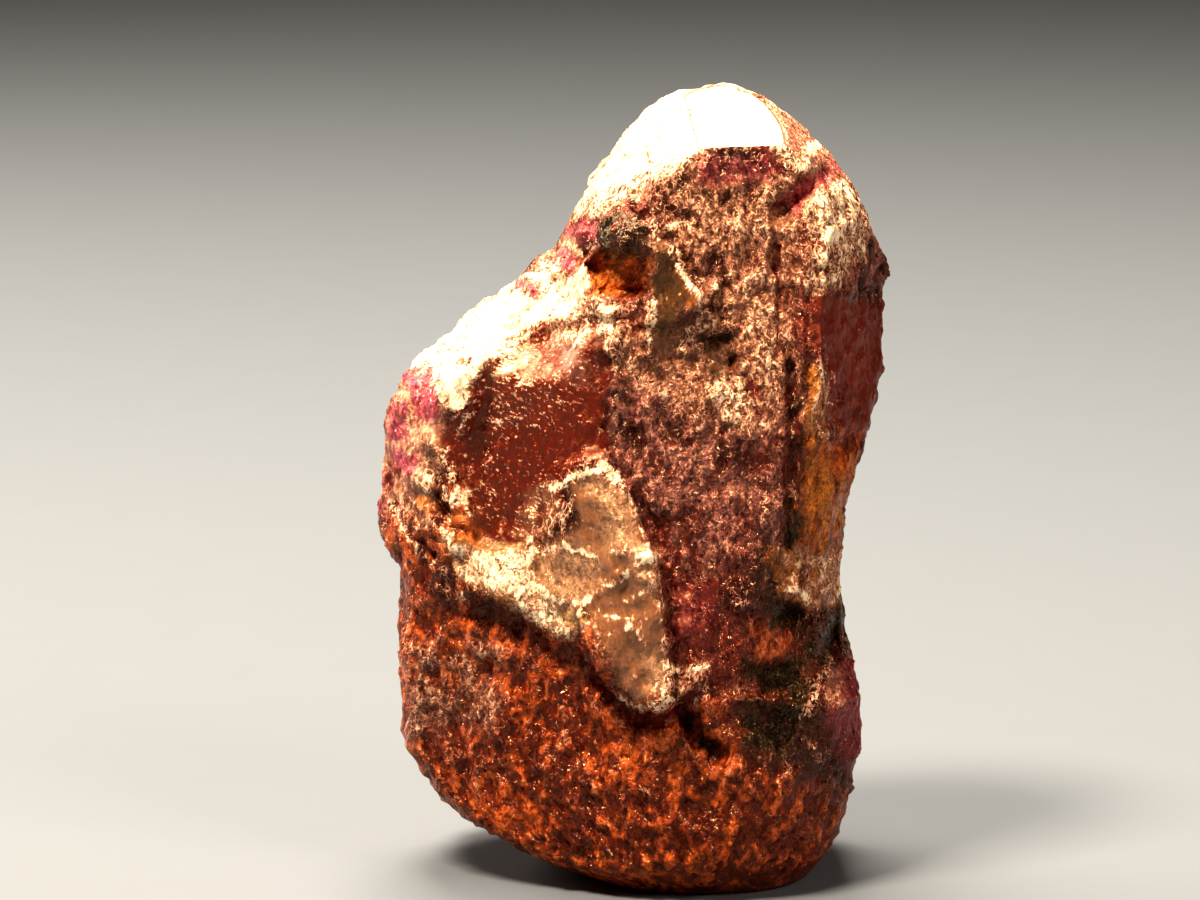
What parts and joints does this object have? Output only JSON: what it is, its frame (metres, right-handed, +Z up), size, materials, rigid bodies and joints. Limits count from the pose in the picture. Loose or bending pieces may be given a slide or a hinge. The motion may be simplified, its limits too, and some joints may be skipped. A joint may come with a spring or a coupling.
{
  "type": "alexandrite crystal",
  "caption": "Loose rough alexandrite crystal: a worn, etched, garnet-red translucent stone that stands on a flat worn foot.",
  "frame": {"origin": "on the flat foot, under the middle of the stone's box", "axes": "+Z up along the stone's length, +X to the right seen from its broad front with the pale chip, +Y through its thickness to the back"},
  "size_m": [0.0096, 0.0074, 0.015],
  "materials": {
    "alexandrite": "glassy and translucent, garnet red under warm light, with an etched and pitted skin"
  },
  "bodies": {
    "root": {"alexandrite_crystal": "alexandrite"}
  },
  "joints": []
}
